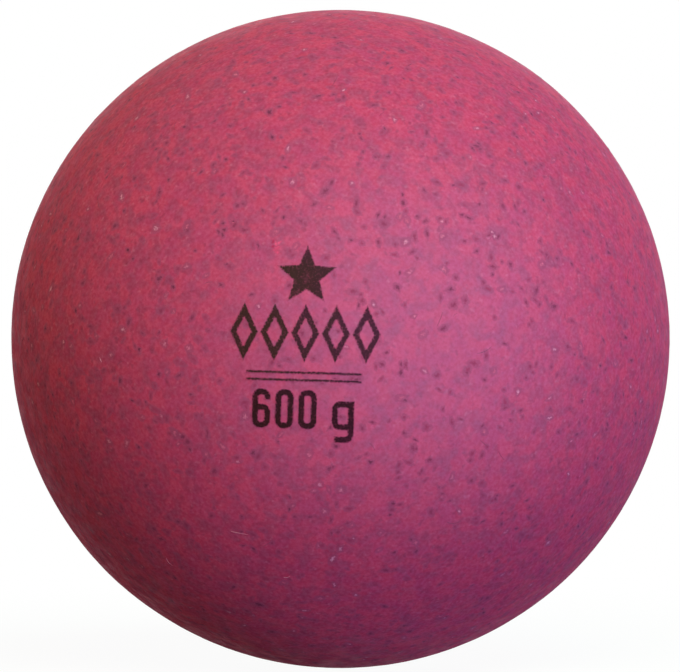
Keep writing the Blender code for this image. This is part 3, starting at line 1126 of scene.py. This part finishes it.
inkLook = {
    "brown": (0.037, 0.0145, 0.0105),
    "violet": (0.052, 0.0115, 0.0230),
    "turnAlong": (-0.0150, 0.0060),  # where brown gives way to violet, from left to right
    "thick": (0.020, 0.0020, 0.005),
    "thickBelow": (-0.0064, -0.0060),  # the figures carry a thicker film
    "thickShare": 0.6,
    "thickWear": 0.5,
    "drift": {"size": 0.004, "detail": 1.0, "rough": 0.5, "shift": (0.5, 0.5, 0.1), "edge": (0.3, 0.7)},
    "driftReach": 0.004,  # how far the turn from brown to violet wanders
    "thin": {"size": 0.00030, "detail": 1.0, "rough": 0.6, "shift": (0.9, 0.3, 0.4), "edge": (0.48, 0.76)},
    "patch": {"size": 0.0011, "detail": 2.0, "rough": 0.6, "shift": (0.1, 0.6, 0.8), "edge": (0.55, 0.80)},
    "wear": 0.12,  # most that each of the two lets the rubber show
    "raggedEdge": (0.25, 0.75),
    "ragged": (0.20, -0.30),  # what the thin noise adds to the place between edge and inside
    "edgeFade": 0.90,
    "edgeWear": 0.80,
    "glossEdge": (0.3, 0.7),
    "bumpStrength": 0.8,
    "specular": 0.06,
    "roughness": (0.60, 0.80),
}


def makeInk(look):
    # Dark ink, brown on one side and violet on the other, worn thin at its edges and in fine mottles
    material, tree, shader, coords = newMaterial("markInk")
    rubber, _, height = rubberColour(tree, coords, rubberLook)
    along, _, up = addNode(tree, "SeparateXYZ", {0: coords}).outputs
    drift = noiseField(tree, coords, look["drift"])
    drift = ramp(tree, drift, *look["drift"]["edge"], -look["driftReach"], look["driftReach"])
    along = mathNode(tree, "ADD", along, drift)
    ink = blendColour(tree, ramp(tree, along, *look["turnAlong"]), look["brown"], look["violet"])
    ink = blendColour(tree, ramp(tree, up, *look["thickBelow"], look["thickShare"], 0.0), ink, look["thick"])
    thin = noiseField(tree, coords, look["thin"])
    patch = noiseField(tree, coords, look["patch"])
    worn = mathNode(tree, "ADD", ramp(tree, thin, *look["thin"]["edge"], 0.0, look["wear"]),
                    ramp(tree, patch, *look["patch"]["edge"], 0.0, look["wear"]))
    worn = mathNode(tree, "MULTIPLY", worn, ramp(tree, up, *look["thickBelow"], look["thickWear"], 1.0))
    inside = attributeField(tree, "inside")
    inside = mathNode(tree, "ADD", inside, ramp(tree, thin, *look["raggedEdge"], *look["ragged"]))
    worn = mathNode(tree, "MAXIMUM", worn, ramp(tree, inside, 0.0, look["edgeFade"], look["edgeWear"], 0.0))
    setSocket(tree, shader.inputs["Base Color"], blendColour(tree, worn, ink, rubber))
    setSocket(tree, shader.inputs["Roughness"], ramp(tree, patch, *look["glossEdge"], *look["roughness"]))
    shader.inputs["Specular IOR Level"].default_value = look["specular"]
    addBump(tree, shader, height, rubberLook["bumpDepth"], look["bumpStrength"])
    return material


mark = addPiece("printed_mark", makeMark(markForm), makeInk(inkLook))
print("printed mark made:", len(mark.data.polygons), "faces")


# Inner pieces keep the CAD's shape

innerLook = {
    "seam_band": {"low": (0.030, 0.028, 0.028), "high": (0.070, 0.062, 0.060), "size": 0.0010,
                  "rough": 0.80, "depth": 0.00006},
    "filler_bush": {"low": (0.070, 0.022, 0.030), "high": (0.120, 0.040, 0.052), "size": 0.0008,
                    "rough": 0.60, "depth": 0.00003},
    "plug_wad": {"low": (0.520, 0.490, 0.420), "high": (0.800, 0.770, 0.700), "size": 0.0006,
                 "rough": 0.95, "depth": 0.00020},
    "ballast_fill": {"low": (0.330, 0.230, 0.130), "high": (0.720, 0.590, 0.420), "size": 0.0005,
                     "rough": 0.95, "depth": 0.00025},
}
innerMix = {
    "cloud": {"detail": 3.0, "rough": 0.6, "shift": (0.0, 0.0, 0.0), "edge": (0.2, 0.8)},
    "cloudSizes": 9,  # a cloud is this many flecks wide
    "fleckShare": 0.6,
    "cloudShare": 0.5,
    "glossSpan": 0.1,  # how far the roughness dips below the piece's own
}


def makeInnerMaterial(name, look):
    # Cell-sized flecks over slow clouds, pressed into the surface as bump
    material, tree, shader, coords = newMaterial(name + "Finish")
    cells = addNode(tree, "TexVoronoi", {"Vector": coords, "Scale": 1 / look["size"]}).outputs
    patch = {"size": look["size"] * innerMix["cloudSizes"], **innerMix["cloud"]}
    cloud = noiseField(tree, coords, patch)
    fleck = addNode(tree, "SeparateXYZ", {0: cells["Color"]}).outputs[0]
    share = mathNode(tree, "MULTIPLY", fleck, innerMix["fleckShare"])
    share = mathNode(tree, "ADD", share, mathNode(tree, "MULTIPLY", cloud, innerMix["cloudShare"]))
    setSocket(tree, shader.inputs["Base Color"], blendColour(tree, share, look["low"], look["high"]))
    glossy = look["rough"] - innerMix["glossSpan"]
    setSocket(tree, shader.inputs["Roughness"], ramp(tree, cloud, *patch["edge"], glossy, look["rough"]))
    addBump(tree, shader, cells["Distance"], look["depth"])
    return material


for nodeName, look in innerLook.items():
    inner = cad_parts[nodeName]
    inner.data.materials.clear()
    inner.data.materials.append(makeInnerMaterial(nodeName, look))
print("inner pieces finished")


# Floor, light and camera

stageLook = {
    "floorSide": 12.0,
    "floorGlow": 0.95,  # what the camera sees of the floor before any light on it
    "floorBounce": 0.16,  # grey that other rays meet
    "fadeRadii": (0.05, 0.22),
    "ambient": (0.064, 0.056, 0.048),
}
lampPlan = {
    # Azimuth from the camera's side to the right, elevation, distance, width, power in watts, colour
    "frontLamp": (0.0, 40.0, 1.10, 0.70, 6.3, (1.0, 1.0, 0.45)),
    "highLamp": (30.0, 50.0, 1.10, 0.70, 7.3, (0.45, 1.0, 0.82)),
    "rightLamp": (36.0, 0.0, 1.10, 0.70, 19.4, (0.45, 0.45, 1.0)),
    "leftLamp": (-38.0, 8.0, 1.10, 0.70, 1.8, (1.0, 0.45, 0.45)),
    "backLamp": (180.0, 12.0, 1.20, 0.80, 6.0, (1.0, 0.98, 0.98)),
}


def backgroundRay(tree):
    # One for rays of the camera, of gloss and through glass, nought for the rest
    path = addNode(tree, "LightPath").outputs
    share = mathNode(tree, "MAXIMUM", path["Is Camera Ray"], path["Is Glossy Ray"])
    return mathNode(tree, "MAXIMUM", share, path["Is Transmission Ray"])


def makeFloor(look):
    half = look["floorSide"] / 2
    corners = np.array([(-1, -1, 0), (1, -1, 0), (1, 1, 0), (-1, 1, 0)]) * half + (0, 0, -ballRadius)
    mesh = bpy.data.meshes.new("floor")
    mesh.from_pydata(corners.tolist(), [], [(0, 1, 2, 3)])
    floor = addObject("floor", mesh)
    material = bpy.data.materials.new("floorPaint")
    tree = emptyTree(material)
    coords = addNode(tree, "TexCoord").outputs["Object"]
    flat = addNode(tree, "VectorMath", {0: coords, 1: (1, 1, 0)}, operation="MULTIPLY").outputs[0]
    away = addNode(tree, "VectorMath", {0: flat}, operation="LENGTH").outputs["Value"]
    strength = ramp(tree, away, *look["fadeRadii"], look["floorGlow"], 1.0)
    glow = addNode(tree, "Emission", {"Color": (1, 1, 1), "Strength": strength})
    keep = ramp(tree, away, *look["fadeRadii"], 1.0 - look["floorGlow"], 0.0)
    lit = addNode(tree, "BsdfDiffuse", {"Color": greyColour(tree, keep)})
    shown = addNode(tree, "AddShader", {0: glow.outputs[0], 1: lit.outputs[0]})
    plain = addNode(tree, "BsdfDiffuse", {"Color": (look["floorBounce"],) * 3})
    final = addNode(tree, "MixShader", {0: backgroundRay(tree), 1: plain.outputs[0], 2: shown.outputs[0]})
    output = addNode(tree, "OutputMaterial")
    tree.links.new(final.outputs[0], output.inputs["Surface"])
    mesh.materials.append(material)


def makeWorld(look):
    world = bpy.data.worlds.new("studio")
    tree = emptyTree(world)
    soft = addNode(tree, "Background", {"Color": look["ambient"], "Strength": 1.0})
    white = addNode(tree, "Background", {"Color": (1, 1, 1), "Strength": 1.0})
    final = addNode(tree, "MixShader", {0: backgroundRay(tree), 1: soft.outputs[0], 2: white.outputs[0]})
    output = addNode(tree, "OutputWorld")
    tree.links.new(final.outputs[0], output.inputs["Surface"])
    bpy.context.scene.world = world


def addLamp(name, azimuth, elevation, distance, width, power, colour):
    data = bpy.data.lights.new(name, "AREA")
    data.shape = "DISK"
    data.size = width
    data.energy = power
    data.color = colour
    lamp = addObject(name, data)
    turn, rise = math.radians(azimuth), math.radians(elevation)
    toLamp = Vector((math.sin(turn) * math.cos(rise), -math.cos(turn) * math.cos(rise), math.sin(rise)))
    lamp.location = toLamp * distance
    lamp.rotation_euler = toLamp.to_track_quat("Z", "Y").to_euler()


cameraForm = {
    "distance": 0.600,
    "focalPixels": 4145.0,  # focal length in pixels of a frame this wide
    "frameWidth": 680.0,
    "sensor": 36.0,
    "aside": 0.3,  # how far right and down of the frame's middle the ball's middle lies, in pixels
    "below": 3.0,
    "clip": (0.01, 50.0),
}


def makeCamera(look):
    data = bpy.data.cameras.new("camera")
    data.sensor_width = look["sensor"]
    data.lens = look["focalPixels"] * look["sensor"] / look["frameWidth"]
    data.shift_x = -look["aside"] / look["frameWidth"]
    data.shift_y = look["below"] / look["frameWidth"]
    data.clip_start, data.clip_end = look["clip"]
    camera = addObject("camera", data)
    camera.location = (0.0, -look["distance"], 0.0)
    camera.rotation_euler = (math.pi / 2, 0.0, 0.0)
    bpy.context.scene.camera = camera


makeFloor(stageLook)
makeWorld(stageLook)
for lampName, plan in lampPlan.items():
    addLamp(lampName, *plan)
makeCamera(cameraForm)
bpy.context.scene.view_settings.view_transform = "Standard"
print("stage, lamps and camera made")
